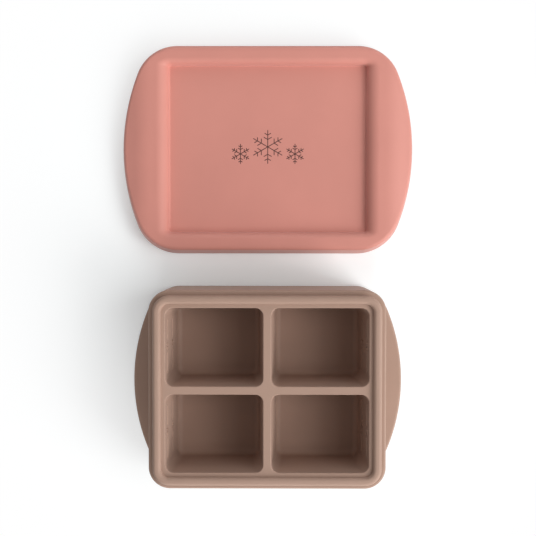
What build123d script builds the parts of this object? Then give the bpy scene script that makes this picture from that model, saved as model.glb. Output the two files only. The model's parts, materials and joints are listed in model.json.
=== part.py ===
"""Baby food freezer tray: a soft four-pocket tray on a winged foot, and the press-on lid that
lies behind it.

The frame is in millimetres with +Z up. The origin is on the table, under the middle of the tray
and the lid together. The tray lies towards -Y and the lid towards +Y.
"""
import os
from math import atan2, degrees, radians, sin, sqrt

from build123d import *

# Pockets of the tray, measured at the deck
pocket_columns = 2
pocket_rows = 2
pocket_length = 58.85
pocket_width = 47.25
pocket_depth = 44.5
pocket_corner = 4.8
pocket_foot_corner = 4.8
pocket_draft_x = 3.0
pocket_draft_y = 0.8
pocket_floor_fillet = 3.5
pocket_lip_round = 0.5
divider = 4.9

# Walls of the tray
floor_thickness = 2.5
cup_wall = 1.7
cup_foot_round = 4.5
deck_thickness = 2.5
skirt_wall = 2.0
ledge_thickness = 2.0

# Deck, sealing ridge and ledge round the pockets
deck_margin = 2.35
ridge_width = 5.2
ridge_rise = 3.0
ridge_corner = 10.0
ridge_round = 2.2
ledge_width = 3.0
ledge_drop = 3.0
ledge_round = 1.2

# Skirt and winged foot of the tray
skirt_draft = 0.6
skirt_foot_corner = 15.0
wing_reach = 14.4
wing_thickness = 3.2
wing_edge_round = 1.4
wing_root_width = 1.5
wing_root_rise = 1.5
wing_end_radius = 118.7
wing_corner_radius = 25.4

# Lid: its reach past the foot of the tray, and its shell
lid_overhang_x = 6.85
lid_overhang_y = 6.15
lid_end_radius = 133.4
lid_corner_radius = 29.2
lid_draft = 11.0
lid_wall = 1.8
lid_edge_round = 2.4
lid_foot_round = 0.6

# Lid: the sunk panel and the rolled rim round it
panel_thickness = 1.8
panel_drop = 4.8
recess_depth = 6.7
recess_inset_x = 6.65
recess_inset_y = 4.55
recess_corner = 1.8
recess_floor_fillet = 0.8
recess_wall = 0.2
rim_width_x = 8.7
rim_width_y = 4.7

# Lid: its top is flat round the rim, then falls along the wings and rolls over at the borders
wing_flat = 4.0
wing_bend_radius = 33.0
wing_slope = 16.0
border_flat = 3.4
border_bend_radius = 8.0
border_slope = 45.0

# Fit of the lid on the tray: the panel lies on the ridge, inside a rib that hugs it
rib_clearance = 0.25
rib_thickness = 1.8
rib_foot = 0.6

# Room between the tray and the lid that lies behind it
lid_gap = 21.0

# Heights of the tray above the table
deck_height = floor_thickness + pocket_depth
tray_height = deck_height + ridge_rise
ledge_height = deck_height - ledge_drop

# Heights of the lid above the table
panel_top = panel_drop + panel_thickness
lid_height = panel_top + recess_depth

# Plan sizes of the tray, from the pockets outwards
pocket_pitch_x = pocket_length + divider
pocket_pitch_y = pocket_width + divider
well_length = pocket_columns * pocket_pitch_x - divider + 2 * deck_margin
well_width = pocket_rows * pocket_pitch_y - divider + 2 * deck_margin
well_corner = ridge_corner - ridge_width
deck_length = well_length + ridge_width
deck_width = well_width + ridge_width
deck_corner = well_corner + ridge_width / 2
ridge_length = well_length + 2 * ridge_width
ridge_breadth = well_width + 2 * ridge_width
ledge_length = ridge_length + 2 * ledge_width
ledge_breadth = ridge_breadth + 2 * ledge_width
ledge_corner = ridge_corner + ledge_width
foot_length = ledge_length + 2 * skirt_draft
foot_breadth = ledge_breadth + 2 * skirt_draft

# Plan sizes of the lid, from its fit on the ridge
seat_length = ridge_length + 2 * rib_clearance
seat_width = ridge_breadth + 2 * rib_clearance
seat_corner = ridge_corner + rib_clearance
rib_length = seat_length + 2 * rib_thickness
rib_width = seat_width + 2 * rib_thickness
rib_corner = seat_corner + rib_thickness
recess_length = ridge_length - 2 * recess_inset_x
recess_width = ridge_breadth - 2 * recess_inset_y

# The rim of the recess is modelled with a round roll and then stretched to its two widths
rim_round = recess_depth - recess_floor_fillet - recess_wall
rim_stretch_x = rim_width_x / (rim_round + recess_floor_fillet)
rim_stretch_y = rim_width_y / (rim_round + recess_floor_fillet)
round_recess_length = recess_length / rim_stretch_x + 2 * recess_floor_fillet
round_recess_width = recess_width / rim_stretch_y + 2 * recess_floor_fillet
rim_block_margin = 2 * rim_round
rim_block_length = round_recess_length + 2 * rim_block_margin
rim_block_width = round_recess_width + 2 * rim_block_margin
rim_block_corner = recess_corner + rim_block_margin

# Half sizes of the two winged outlines
foot_half_length = foot_length / 2 + wing_reach
foot_half_width = foot_breadth / 2
lid_half_length = foot_half_length + lid_overhang_x
lid_half_width = foot_half_width + lid_overhang_y

# The tray and the lid lie one behind the other, centred on the origin together
total_depth = 2 * foot_half_width + lid_gap + 2 * lid_half_width
tray_base = Plane((0, foot_half_width - total_depth / 2, 0))
lid_base = Plane((0, total_depth / 2 - lid_half_width, 0))


def winged_outline(half_length, half_width, end_radius, corner_radius):
    """An oblong with straight long sides, round corners and bowed ends, all tangent."""
    end_x = half_length - end_radius
    corner_y = half_width - corner_radius
    corner_x = end_x + sqrt((end_radius - corner_radius) ** 2 - corner_y**2)
    turn = degrees(atan2(corner_y, corner_x - end_x))
    with BuildSketch(Plane.XY) as outline:
        with BuildLine():
            Line((-corner_x, -half_width), (corner_x, -half_width))
            CenterArc((corner_x, -corner_y), corner_radius, -90, 90 - turn)
            CenterArc((end_x, 0), end_radius, -turn, 2 * turn)
            CenterArc((corner_x, corner_y), corner_radius, turn, 90 - turn)
            Line((corner_x, half_width), (-corner_x, half_width))
            CenterArc((-corner_x, corner_y), corner_radius, 90, 90 - turn)
            CenterArc((-end_x, 0), end_radius, 180 - turn, 2 * turn)
            CenterArc((-corner_x, -corner_y), corner_radius, 180 + turn, 90 - turn)
        make_face()
    return outline.sketch


def leaning_block(bottom, top, low_size, high_size, low_corner, high_corner):
    """A block with round corners between two heights, whose four walls lean."""
    with BuildPart() as block:
        with BuildSketch(Plane.XY.offset(bottom)):
            RectangleRounded(*low_size, low_corner)
        with BuildSketch(Plane.XY.offset(top)):
            RectangleRounded(*high_size, high_corner)
        loft()
    return block.part


def pocket_size(height, wall):
    """Length and width of a pocket at a height above the table, grown by a wall all round."""
    lean = (deck_height - height) / pocket_depth
    length = pocket_length - 2 * pocket_draft_x * lean + 2 * wall
    width = pocket_width - 2 * pocket_draft_y * lean + 2 * wall
    return length, width


def pocket_form(bottom, top, wall, foot_round):
    """One pocket, grown by a wall, with a round foot."""
    with BuildPart() as form:
        add(
            leaning_block(
                bottom,
                top,
                pocket_size(bottom, wall),
                pocket_size(top, wall),
                pocket_foot_corner + wall,
                pocket_corner + wall,
            )
        )
        fillet(form.faces().sort_by(Axis.Z)[0].edges(), foot_round)
    return form.part


def round_ring(bottom, top, outer_size, outer_corner, inner_size, inner_corner):
    """A ring with round corners between two heights."""
    with BuildPart() as ring:
        with BuildSketch(Plane.XY.offset(bottom)):
            RectangleRounded(*outer_size, outer_corner)
            RectangleRounded(*inner_size, inner_corner, mode=Mode.SUBTRACT)
        extrude(amount=top - bottom)
    return ring.part


# Tray ------------------------------------------------------------------------------------
cup = pocket_form(0, deck_height - deck_thickness, cup_wall, cup_foot_round)
pocket = pocket_form(floor_thickness, deck_height, 0, pocket_floor_fillet)

# The sealing ridge: a ring with a domed top
with BuildPart() as ridge:
    add(
        round_ring(
            ledge_height - ledge_thickness,
            tray_height,
            (ridge_length, ridge_breadth),
            ridge_corner,
            (well_length, well_width),
            well_corner,
        )
    )
    fillet(ridge.faces().sort_by(Axis.Z)[-1].edges(), ridge_round)

# The skirt: a hollow box with leaning walls, open underneath
with BuildPart() as skirt:
    add(
        leaning_block(
            0,
            ledge_height,
            (foot_length, foot_breadth),
            (ledge_length, ledge_breadth),
            skirt_foot_corner,
            ledge_corner,
        )
    )
    fillet(skirt.faces().sort_by(Axis.Z)[-1].edges(), ledge_round)

# The winged foot: a flat plate with a round edge
with BuildPart() as foot:
    with BuildSketch():
        add(winged_outline(foot_half_length, foot_half_width, wing_end_radius, wing_corner_radius))
    extrude(amount=wing_thickness)
    fillet(foot.edges().filter_by(Plane.XY), wing_edge_round)

# The skirt flares a little where it stands on the wings
with BuildPart() as wing_root:
    with BuildSketch():
        add(
            winged_outline(
                foot_half_length - wing_edge_round,
                foot_half_width - wing_edge_round,
                wing_end_radius - wing_edge_round,
                wing_corner_radius - wing_edge_round,
            )
        )
    extrude(amount=wing_thickness + wing_root_rise)
    add(
        leaning_block(
            0,
            wing_thickness + wing_root_rise,
            (foot_length + 2 * wing_root_width, foot_breadth),
            (foot_length, foot_breadth),
            skirt_foot_corner,
            skirt_foot_corner,
        ),
        mode=Mode.INTERSECT,
    )

# The hollow inside the skirt reaches up to the ledge, and within the ridge it reaches the deck
with BuildPart() as skirt_hollow:
    add(
        leaning_block(
            0,
            ledge_height - ledge_thickness,
            (foot_length - 2 * skirt_wall, foot_breadth - 2 * skirt_wall),
            (ledge_length - 2 * skirt_wall, ledge_breadth - 2 * skirt_wall),
            skirt_foot_corner - skirt_wall,
            ledge_corner - skirt_wall,
        )
    )
    with BuildSketch():
        RectangleRounded(well_length, well_width, well_corner)
    extrude(amount=deck_height)

# The cups hang from the deck, which ends inside the ridge, and their mouths are rounded
with BuildPart() as cups:
    with BuildSketch(Plane.XY.offset(deck_height - deck_thickness)):
        RectangleRounded(deck_length, deck_width, deck_corner)
    extrude(amount=deck_thickness)
    with GridLocations(pocket_pitch_x, pocket_pitch_y, pocket_columns, pocket_rows):
        add(cup)
        add(pocket, mode=Mode.SUBTRACT)
    deck = cups.faces().sort_by(Axis.Z)[-1]
    fillet([edge for wire in deck.inner_wires() for edge in wire.edges()], pocket_lip_round)

with BuildPart(tray_base) as tray:
    add(skirt.part)
    add(foot.part)
    add(wing_root.part)
    add(skirt_hollow.part, mode=Mode.SUBTRACT)
    add(ridge.part)
    add(cups.part)
tray.part.label = "tray"

# Lid -------------------------------------------------------------------------------------
def arched_bar(plane, flat_half, bend_radius, slope, half_span, inset):
    """A bar as high as the lid, whose top is flat in the middle and falls away at both sides."""
    with BuildPart() as bar:
        with BuildSketch(plane):
            with BuildLine():
                bend = CenterArc((flat_half, lid_height - bend_radius), bend_radius - inset, 90, -slope)
                fall = PolarLine(bend @ 1, half_span - flat_half, -slope)
                Polyline(fall @ 1, ((fall @ 1).X, 0), (0, 0), (0, lid_height - inset), bend @ 0)
            make_face()
            mirror(about=Plane.YZ)
        extrude(amount=lid_half_length, both=True)
    return bar.part


def lid_form(inset):
    """The domed outside of the lid, drawn in by an inset all round and on top."""
    wing_bar = arched_bar(
        Plane.XZ,
        recess_length / 2 + rim_width_x + wing_flat,
        wing_bend_radius,
        wing_slope,
        lid_half_length,
        inset,
    )
    border_bar = arched_bar(
        Plane.YZ,
        recess_width / 2 + rim_width_y + border_flat,
        border_bend_radius,
        border_slope,
        lid_half_width,
        inset,
    )
    with BuildPart() as form:
        with BuildSketch():
            add(
                winged_outline(
                    lid_half_length - inset,
                    lid_half_width - inset,
                    lid_end_radius - inset,
                    lid_corner_radius - inset,
                )
            )
        extrude(amount=lid_height, taper=lid_draft)
        add(wing_bar, mode=Mode.INTERSECT)
        add(border_bar, mode=Mode.INTERSECT)
        # every wall leans in by the draft, and the upper edges of the walls are the shoulder
        lean = sin(radians(lid_draft))
        walls = form.faces().filter_by(lambda face: abs(face.normal_at().Z - lean) < lean / 2)
        shoulder = [edge for wall in walls for edge in wall.edges() if edge.center().Z > lid_height / 2]
        fillet(shoulder, lid_edge_round - inset)
    return form.part


# The recess is a sunk floor within a rolled rim, which is wider at the wings than at the borders.
# It is modelled with a round roll and then stretched.
with BuildPart() as rim:
    add(
        round_ring(
            panel_top,
            lid_height,
            (rim_block_length, rim_block_width),
            rim_block_corner,
            (round_recess_length, round_recess_width),
            recess_corner,
        )
    )
    fillet(rim.faces().sort_by(Axis.Z)[-1].inner_wires()[0].edges(), rim_round)

with BuildPart() as round_recess:
    with BuildSketch(Plane.XY.offset(panel_top)):
        RectangleRounded(rim_block_length, rim_block_width, rim_block_corner)
    extrude(amount=recess_depth)
    add(rim.part, mode=Mode.SUBTRACT)
    fillet(round_recess.faces().sort_by(Axis.Z)[0].edges(), recess_floor_fillet)
recess = scale(round_recess.part, by=(rim_stretch_x, rim_stretch_y, 1))

# The hollow under the wings and the borders, outside the rib that hugs the ridge
with BuildPart() as border_hollow:
    add(lid_form(lid_wall))
    with BuildSketch():
        RectangleRounded(rib_length, rib_width, rib_corner)
    extrude(amount=lid_height, mode=Mode.SUBTRACT)

# The seat: the panel comes to lie on the ridge of the tray, inside the rib
with BuildPart() as seat:
    with BuildSketch():
        RectangleRounded(rib_length, rib_width, rib_corner)
    extrude(amount=rib_foot)
    with BuildSketch():
        RectangleRounded(seat_length, seat_width, seat_corner)
    extrude(amount=panel_drop)

with BuildPart(lid_base) as lid:
    add(lid_form(0))
    add(recess, mode=Mode.SUBTRACT)
    add(border_hollow.part, mode=Mode.SUBTRACT)
    add(seat.part, mode=Mode.SUBTRACT)
    fillet(lid.faces().filter_by(Plane.XY).sort_by(Axis.Z)[0].edges(), lid_foot_round)
lid.part.label = "lid"

os.makedirs("parts", exist_ok=True)
export_step(tray.part, "parts/tray.step")
export_step(lid.part, "parts/lid.step")
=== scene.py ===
import json
from math import cos, pi, radians, sin

import bmesh
import bpy
from mathutils import Matrix, Vector
from mathutils.bvhtree import BVHTree
from mathutils.geometry import delaunay_2d_cdt


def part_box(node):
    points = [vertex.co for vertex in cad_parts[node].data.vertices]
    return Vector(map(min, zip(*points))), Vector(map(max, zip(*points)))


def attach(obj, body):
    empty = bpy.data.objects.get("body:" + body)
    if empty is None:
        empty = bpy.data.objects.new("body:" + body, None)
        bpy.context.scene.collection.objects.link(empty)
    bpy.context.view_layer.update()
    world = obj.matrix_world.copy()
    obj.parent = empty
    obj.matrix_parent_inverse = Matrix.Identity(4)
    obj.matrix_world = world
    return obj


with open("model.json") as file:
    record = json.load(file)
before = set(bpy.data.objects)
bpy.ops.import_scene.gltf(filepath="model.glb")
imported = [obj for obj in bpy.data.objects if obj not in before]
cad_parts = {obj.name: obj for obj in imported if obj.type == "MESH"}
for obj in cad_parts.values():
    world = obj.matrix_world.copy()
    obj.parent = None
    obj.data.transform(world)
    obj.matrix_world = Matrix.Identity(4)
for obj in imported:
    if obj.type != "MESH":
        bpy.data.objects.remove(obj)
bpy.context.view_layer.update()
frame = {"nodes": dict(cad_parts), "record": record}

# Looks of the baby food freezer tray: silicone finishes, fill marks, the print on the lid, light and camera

MM = 0.001
DOWN = Vector((0, 0, -1))

# Fill marks on the outer side wall of each pocket: digits, and the share of the pocket's depth
fill_marks = {"90": 0.17, "45": 0.56}
mark_length = 33 * MM
mark_gap = 7.5 * MM
mark_width = 0.8 * MM
mark_height = 0.45 * MM
mark_sink = 0.06 * MM
mark_stations = 8
mark_turns = 6
mark_tip = 0.02
digit_size = 4.2 * MM
digit_height = 0.4 * MM
digit_bevel = 0.05 * MM
digit_resolution = 6

# Print on the lid: a row of three snow crystals
print_line = 0.5 * MM
print_thickness = 0.03 * MM
print_weld = 1e-7
stroke_turns = 8
crystal_radii = (6.2 * MM, 10.5 * MM, 6.2 * MM)
crystal_places = ((-17.5 * MM, -3.0 * MM), (0, 1.5 * MM), (17.5 * MM, -3.0 * MM))
crystal_arms = 6
crystal_turn = 30
barb_places = ((0.45, 0.26), (0.72, 0.20))
barb_lean = 60

# Colours, linear
tray_colour = (0.398, 0.264, 0.205)
lid_colour = (0.648, 0.262, 0.212)
ink_colour = (0.085, 0.032, 0.027)
floor_colour = (0.55, 0.55, 0.55)
seen_floor_colour = (1.05, 1.08, 1.085)

# Silicone finish
silicone_roughness = 0.52
silicone_ior = 1.41
sheen_roughness = 0.55
tray_specular = 0.25
tray_sheen = 0.04
lid_specular = 0.5
lid_sheen = 0.2
cloud_scale = 28.0
cloud_detail = 3.0
cloud_spread = 0.025
swell_scale = 160.0
swell_detail = 1.0
swell_height = 0.05 * MM
grain_scale = 2600.0
grain_detail = 2.0
grain_roughness = 0.6
grain_height = 0.018 * MM

# Ink finish
ink_roughness = 0.5
ink_ior = 1.45
ink_patch_scale = 900.0
ink_patch_detail = 2.0
ink_patch_roughness = 0.7
ink_patch_spread = 0.14
ink_grain_height = 0.010 * MM

# Noise level below which a varied colour is darkest, and above which it is lightest
ramp_low = 0.3
ramp_high = 0.7

# Camera of the photograph
photo_pixels = 536
focal_pixels = 889.49
sensor_width = 36.0
camera_near = 0.01
camera_place = Vector((3.22 * MM, 10.767 * MM, 579.03 * MM))
camera_pitch = 0.0273
camera_tilt = -0.0052
camera_roll = -0.001

# Light: soft square lamps round the object, each with its elevation and its azimuth from +X
# towards +Y, in degrees, and its strength, where 1 lights a white surface that faces it to white
lamp_distance = 1.7
lamp_size = 0.9
lamp_aim = Vector((0, 0, 20 * MM))
lamps = {
    "front_low": (10, -90, 0.36),
    "front": (28, -90, 0.10),
    "right_front": (28, -30, 0.66),
    "right": (45, 0, 0.235),
    "right_high": (57, 0, 0.175),
    "back": (28, 90, 0.15),
    "back_low": (10, 90, 0.09),
}
sky_level = 0.29

# Floor: a disc, and where it starts and ends to run into the white sky
floor_radius = 4.0
floor_sides = 96
fade_start = 0.01
fade_end = 0.25


# Materials ---------------------------------------------------------------------------------
def new_material(name):
    """A node material, with its node tree and its Principled shader."""
    material = bpy.data.materials.new(name)
    material.use_nodes = True
    return material, material.node_tree, material.node_tree.nodes["Principled BSDF"]


def object_place(tree):
    return tree.nodes.new("ShaderNodeTexCoord").outputs["Object"]


def noise(tree, place, scale, detail, roughness=0.5):
    node = tree.nodes.new("ShaderNodeTexNoise")
    node.inputs["Scale"].default_value = scale
    node.inputs["Detail"].default_value = detail
    node.inputs["Roughness"].default_value = roughness
    tree.links.new(place, node.inputs["Vector"])
    return node.outputs["Fac"]


def shade(colour, factor):
    return tuple(min(1.0, channel * factor) for channel in colour) + (1.0,)


def varied_colour(tree, driver, colour, spread):
    """The colour, a little darker or lighter where the driver is low or high."""
    ramp = tree.nodes.new("ShaderNodeValToRGB")
    low, high = ramp.color_ramp.elements
    low.position, low.color = ramp_low, shade(colour, 1 - spread)
    high.position, high.color = ramp_high, shade(colour, 1 + spread)
    tree.links.new(driver, ramp.inputs["Fac"])
    return ramp.outputs["Color"]


def bump(tree, height, distance, normal=None):
    node = tree.nodes.new("ShaderNodeBump")
    node.inputs["Strength"].default_value = 1.0
    node.inputs["Distance"].default_value = distance
    tree.links.new(height, node.inputs["Height"])
    if normal is not None:
        tree.links.new(normal, node.inputs["Normal"])
    return node.outputs["Normal"]


def math_node(tree, operation, first, second):
    node = tree.nodes.new("ShaderNodeMath")
    node.operation = operation
    tree.links.new(first, node.inputs[0])
    tree.links.new(second, node.inputs[1])
    return node.outputs[0]


def silicone(name, colour, specular, sheen):
    """Matt moulded silicone: an even colour, a powdery sheen, a fine grain and soft unevenness."""
    material, tree, shader = new_material(name)
    place = object_place(tree)
    cloud = noise(tree, place, cloud_scale, cloud_detail)
    tree.links.new(varied_colour(tree, cloud, colour, cloud_spread), shader.inputs["Base Color"])
    grain = noise(tree, place, grain_scale, grain_detail, grain_roughness)
    swell = noise(tree, place, swell_scale, swell_detail)
    normal = bump(tree, grain, grain_height, bump(tree, swell, swell_height))
    tree.links.new(normal, shader.inputs["Normal"])
    shader.inputs["Roughness"].default_value = silicone_roughness
    shader.inputs["IOR"].default_value = silicone_ior
    shader.inputs["Specular IOR Level"].default_value = specular
    shader.inputs["Sheen Weight"].default_value = sheen
    shader.inputs["Sheen Roughness"].default_value = sheen_roughness
    return material


def ink(name, colour):
    """Thin matt print that lets a little of the grain through."""
    material, tree, shader = new_material(name)
    place = object_place(tree)
    patches = noise(tree, place, ink_patch_scale, ink_patch_detail, ink_patch_roughness)
    tree.links.new(varied_colour(tree, patches, colour, ink_patch_spread), shader.inputs["Base Color"])
    grain = noise(tree, place, grain_scale, grain_detail, grain_roughness)
    tree.links.new(bump(tree, grain, ink_grain_height), shader.inputs["Normal"])
    shader.inputs["Roughness"].default_value = ink_roughness
    shader.inputs["IOR"].default_value = ink_ior
    return material


def studio_floor(name, colour, seen_colour):
    """A matt floor that takes shadows, painted to look white where the camera or a reflection sees it."""
    material, tree, shader = new_material(name)
    tree.nodes.remove(shader)
    rays = tree.nodes.new("ShaderNodeLightPath")
    seen = rays.outputs["Is Camera Ray"]
    for kind in ("Is Glossy Ray", "Is Transmission Ray"):
        seen = math_node(tree, "MAXIMUM", seen, rays.outputs[kind])
    paint = tree.nodes.new("ShaderNodeMixRGB")
    paint.inputs["Color1"].default_value = (*colour, 1)
    paint.inputs["Color2"].default_value = (*seen_colour, 1)
    tree.links.new(seen, paint.inputs["Fac"])
    matt = tree.nodes.new("ShaderNodeBsdfDiffuse")
    tree.links.new(paint.outputs["Color"], matt.inputs["Color"])
    # far from the object the floor is plain white to the camera, and runs into the white sky
    distance = tree.nodes.new("ShaderNodeVectorMath")
    distance.operation = "LENGTH"
    tree.links.new(object_place(tree), distance.inputs[0])
    fade = tree.nodes.new("ShaderNodeMapRange")
    fade.interpolation_type = "SMOOTHSTEP"
    fade.inputs["From Min"].default_value = fade_start
    fade.inputs["From Max"].default_value = fade_end
    tree.links.new(distance.outputs["Value"], fade.inputs["Value"])
    white = tree.nodes.new("ShaderNodeEmission")
    mix = tree.nodes.new("ShaderNodeMixShader")
    tree.links.new(math_node(tree, "MULTIPLY", fade.outputs["Result"], seen), mix.inputs["Fac"])
    tree.links.new(matt.outputs[0], mix.inputs[1])
    tree.links.new(white.outputs[0], mix.inputs[2])
    tree.links.new(mix.outputs[0], tree.nodes["Material Output"].inputs["Surface"])
    return material


# Mesh helpers --------------------------------------------------------------------------------
def to_mesh(form, name):
    """The finished mesh of a form, which is freed."""
    mesh = bpy.data.meshes.new(name)
    form.to_mesh(mesh)
    form.free()
    return mesh


def add_object(name, data):
    item = bpy.data.objects.new(name, data)
    bpy.context.scene.collection.objects.link(item)
    return item


def add_piece(name, mesh, material, body):
    """Links a mesh as a piece that rides on a body."""
    piece = add_object(name, mesh)
    mesh.materials.clear()
    mesh.materials.append(material)
    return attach(piece, body)


def raised_line(name, start, end, normal, width, height):
    """A moulded line with a round back and round ends, from start to end on a surface."""
    along = (end - start).normalized()
    across = normal.cross(along)
    length = (end - start).length
    ring = [(cos(pi * k / mark_turns), sin(pi * k / mark_turns)) for k in range(mark_turns + 1)]
    form = bmesh.new()
    rows = []
    for i in range(2 * mark_stations + 2):
        at_end = i > mark_stations
        step = 2 * mark_stations + 1 - i if at_end else i
        angle = pi / 2 * step / mark_stations
        reach = width / 2 * (1 - cos(angle))
        size = max(sin(angle), mark_tip)
        centre = start + along * (length - reach if at_end else reach)
        rows.append([
            form.verts.new(centre + across * (size * width / 2 * c)
                           + normal * (size * height * s - mark_sink))
            for c, s in ring
        ])
    for low, high in zip(rows, rows[1:]):
        for k in range(mark_turns):
            form.faces.new((low[k], low[k + 1], high[k + 1], high[k]))
        form.faces.new((low[-1], low[0], high[0], high[-1]))
    form.faces.new(rows[0])
    form.faces.new(list(reversed(rows[-1])))
    bmesh.ops.recalc_face_normals(form, faces=form.faces)
    mesh = to_mesh(form, name)
    mesh.polygons.foreach_set("use_smooth", [True] * len(mesh.polygons))
    return mesh


def raised_digits(name, text, centre, across, up, normal):
    """Moulded digits on a surface, centred on a point."""
    curve = bpy.data.curves.new(name, "FONT")
    curve.body = text
    curve.align_x = "CENTER"
    curve.align_y = "CENTER"
    curve.size = digit_size
    curve.extrude = digit_height
    curve.bevel_depth = digit_bevel
    curve.resolution_u = digit_resolution
    pattern = add_object(name, curve)
    bpy.context.view_layer.update()
    shown = pattern.evaluated_get(bpy.context.evaluated_depsgraph_get())
    mesh = bpy.data.meshes.new_from_object(shown)
    bpy.data.objects.remove(pattern)
    turn = Matrix((across, up, normal)).transposed().to_4x4()
    mesh.transform(Matrix.Translation(centre) @ turn)
    mesh.name = name
    return mesh


def stroke(start, end, width):
    """Outline of a straight stroke with round ends."""
    along = (end - start).normalized()
    side = Vector((-along.y, along.x))
    outline = []
    for centre, first in ((end, -pi / 2), (start, pi / 2)):
        for k in range(stroke_turns + 1):
            angle = first + pi * k / stroke_turns
            outline.append(centre + (along * cos(angle) + side * sin(angle)) * width / 2)
    return outline


def printed_strokes(name, strokes, width, height, thickness):
    """A thin flat print: the union of many strokes, lying at a height."""
    points, faces = [], []
    for start, end in strokes:
        outline = stroke(start, end, width)
        faces.append(list(range(len(points), len(points) + len(outline))))
        points.extend(outline)
    flat = delaunay_2d_cdt(points, [], faces, 1, print_weld)
    form = bmesh.new()
    corners = [form.verts.new((p.x, p.y, height - thickness)) for p in flat[0]]
    for triangle in flat[2]:
        form.faces.new([corners[i] for i in triangle])
    raised = bmesh.ops.extrude_face_region(form, geom=form.faces[:])
    lifted = [v for v in raised["geom"] if isinstance(v, bmesh.types.BMVert)]
    bmesh.ops.translate(form, verts=lifted, vec=(0, 0, 2 * thickness))
    bmesh.ops.recalc_face_normals(form, faces=form.faces)
    return to_mesh(form, name)


# Pieces --------------------------------------------------------------------------------------
tray_silicone = silicone("tray_silicone", tray_colour, tray_specular, tray_sheen)
lid_silicone = silicone("lid_silicone", lid_colour, lid_specular, lid_sheen)
brown_ink = ink("brown_ink", ink_colour)

for node, material in (("tray", tray_silicone), ("lid", lid_silicone)):
    solid = frame["nodes"][node]
    solid.data.materials.clear()
    solid.data.materials.append(material)


def surface_of(node):
    return BVHTree.FromObject(frame["nodes"][node], bpy.context.evaluated_depsgraph_get())


def pocket_centres():
    """Name and centre of each pocket, from the stated openings."""
    centres = {}
    for opening in frame["record"]["physics"]["openings"]:
        if opening["name"].startswith("pocket_"):
            low, high = (Vector(corner) for corner in opening["box_m"])
            centres[opening["name"]] = (low + high) / 2
    return centres


def mark_pocket(name, centre, surface, deck_z):
    """Moulds the fill marks on the outer side wall of a pocket."""
    side = 1 if centre.x > 0 else -1
    across = Vector((0, -side, 0))
    floor_z = surface.ray_cast(centre, DOWN)[0].z
    for digits, share in fill_marks.items():
        height = deck_z - share * (deck_z - floor_z)
        wall, normal = surface.ray_cast(Vector((centre.x, centre.y, height)), Vector((side, 0, 0)))[:2]
        up = normal.cross(across)
        for end, label in ((-1, "a"), (1, "b")):
            near = wall + across * (end * mark_gap / 2)
            far = wall + across * (end * mark_length / 2)
            line = raised_line(f"{name}_line_{digits}_{label}", near, far, normal, mark_width, mark_height)
            add_piece(line.name, line, tray_silicone, "tray")
        number = raised_digits(f"{name}_digits_{digits}", digits, wall, across, up, normal)
        add_piece(number.name, number, tray_silicone, "tray")


def crystal(centre, radius):
    """Strokes of a six-armed snow crystal with two pairs of barbs on each arm."""
    strokes = []
    for arm in range(crystal_arms):
        angle = radians(360 / crystal_arms * arm + crystal_turn)
        ray = Vector((cos(angle), sin(angle)))
        strokes.append((centre, centre + ray * radius))
        for share, reach in barb_places:
            root = centre + ray * (radius * share)
            for lean in (-1, 1):
                spread = angle + lean * radians(barb_lean)
                barb = Vector((cos(spread), sin(spread)))
                strokes.append((root, root + barb * (radius * reach)))
    return strokes


def print_lid(surface):
    """The print on the recessed panel of the lid."""
    low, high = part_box("lid")
    middle = (low + high) / 2
    panel = surface.ray_cast(Vector((middle.x, middle.y, 1)), DOWN)[0]
    for index, (offset, radius) in enumerate(zip(crystal_places, crystal_radii)):
        centre = Vector((panel.x + offset[0], panel.y + offset[1]))
        strokes = crystal(centre, radius)
        mesh = printed_strokes(f"snow_crystal_{index + 1}", strokes, print_line, panel.z, print_thickness)
        add_piece(mesh.name, mesh, brown_ink, "lid")


tray_low, tray_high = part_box("tray")
tray_surface = surface_of("tray")
tray_deck = tray_surface.ray_cast(Vector((0, (tray_low.y + tray_high.y) / 2, 1)), DOWN)[0]
for pocket_name, pocket_centre in pocket_centres().items():
    mark_pocket(pocket_name, pocket_centre, tray_surface, tray_deck.z)
print_lid(surface_of("lid"))


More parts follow.
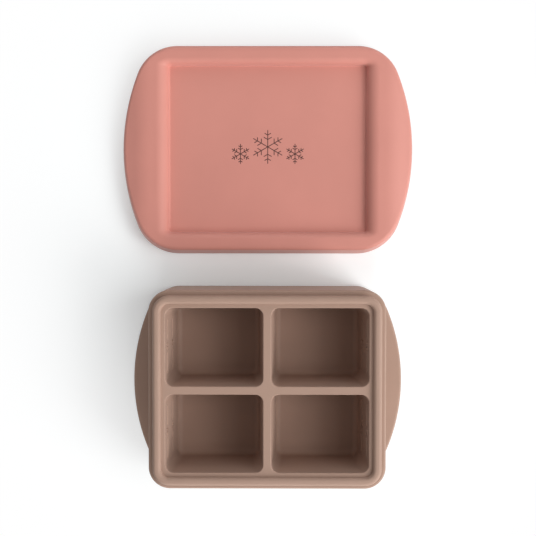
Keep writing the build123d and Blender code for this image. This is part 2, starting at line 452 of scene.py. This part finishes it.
# Stage ---------------------------------------------------------------------------------------
def add_floor():
    form = bmesh.new()
    bmesh.ops.create_circle(form, cap_ends=True, radius=floor_radius, segments=floor_sides)
    floor = add_object("floor", to_mesh(form, "floor"))
    floor.data.materials.append(studio_floor("floor", floor_colour, seen_floor_colour))


def add_lamp(name, elevation, azimuth, strength):
    """A soft square lamp at the lamp distance, turned to the object."""
    rise, turn = radians(elevation), radians(azimuth)
    towards = Vector((cos(rise) * cos(turn), cos(rise) * sin(turn), sin(rise)))
    lamp = bpy.data.lights.new(name, "AREA")
    lamp.shape = "SQUARE"
    lamp.size = lamp_size
    lamp.energy = (pi * lamp_distance) ** 2 * strength
    facing = towards.to_track_quat("Z", "Y").to_matrix().to_4x4()
    add_object(name, lamp).matrix_world = Matrix.Translation(lamp_aim + towards * lamp_distance) @ facing


def add_sky(level):
    """Even white light from all round, which the camera sees as white."""
    world = bpy.data.worlds.new("sky")
    bpy.context.scene.world = world
    world.use_nodes = True
    tree = world.node_tree
    rays = tree.nodes.new("ShaderNodeLightPath")
    strength = tree.nodes.new("ShaderNodeMapRange")
    strength.inputs["To Min"].default_value = level
    strength.inputs["To Max"].default_value = 1.0
    tree.links.new(rays.outputs["Is Camera Ray"], strength.inputs["Value"])
    background = tree.nodes["Background"]
    background.inputs["Color"].default_value = (1, 1, 1, 1)
    tree.links.new(strength.outputs["Result"], background.inputs["Strength"])


def add_camera():
    data = bpy.data.cameras.new("camera")
    data.sensor_width = sensor_width
    data.lens = focal_pixels / photo_pixels * sensor_width
    data.clip_start = camera_near
    camera = add_object("camera", data)
    turn = Matrix.Rotation(camera_roll, 4, "Z")
    turn @= Matrix.Rotation(camera_pitch, 4, "X") @ Matrix.Rotation(camera_tilt, 4, "Y")
    camera.matrix_world = Matrix.Translation(camera_place) @ turn.transposed()
    bpy.context.scene.camera = camera


add_floor()
for lamp_name, setting in lamps.items():
    add_lamp(lamp_name, *setting)
add_sky(sky_level)
add_camera()
bpy.context.scene.view_settings.view_transform = "Standard"
